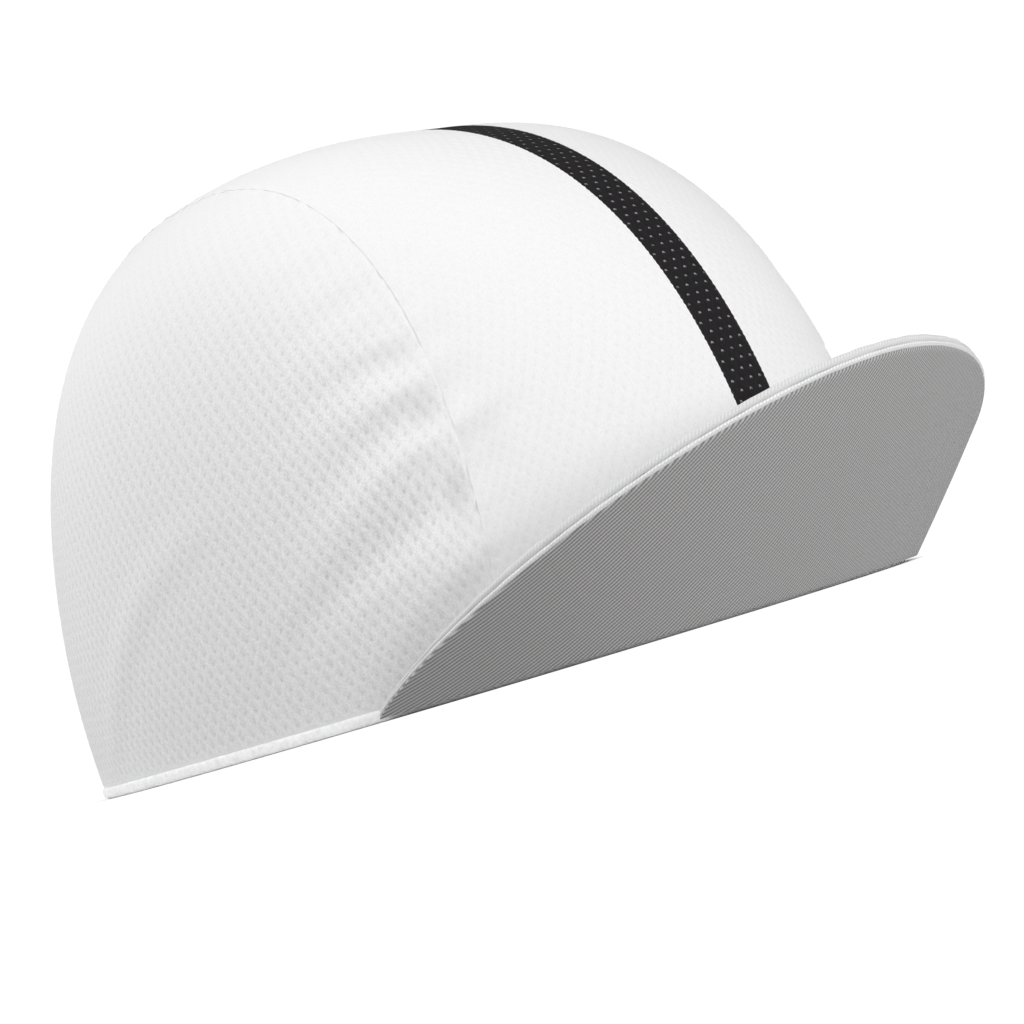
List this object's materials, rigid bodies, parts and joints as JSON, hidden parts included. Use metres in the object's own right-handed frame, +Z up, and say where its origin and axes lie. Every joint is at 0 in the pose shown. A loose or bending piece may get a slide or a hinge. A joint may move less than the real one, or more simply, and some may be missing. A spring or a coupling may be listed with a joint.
{
  "type": "cycling cap",
  "caption": "Knitted cycling cap with side panels, a wide centre panel with a dark stripe, a flipped-up peak, a sweatband and a rolled rim.",
  "frame": {"origin": "under the middle of the cap's outer box, on the surface that the rim stands on", "axes": "+Z up, out of the crown; -Y forward, where the peak points; +X the wearer's left"},
  "size_m": [0.174, 0.2322, 0.1225],
  "materials": {
    "white_knit": "matt dimpled mesh knit",
    "black_stripe": "matt dimpled mesh knit, printed black",
    "peak_cover": "matt fine twill",
    "peak_twill": "matt fine twill",
    "band_jersey": "matt brushed jersey",
    "rolled_hem": "matt knit, turned and stitched"
  },
  "bodies": {
    "root": {"side_panel_right": "white_knit", "side_panel_left": "white_knit", "centre_panel": "white_knit", "centre_stripe": "black_stripe", "peak_top": "peak_cover", "peak_underside": "peak_twill", "sweatband": "band_jersey", "rim_hem": "rolled_hem"}
  },
  "joints": []
}
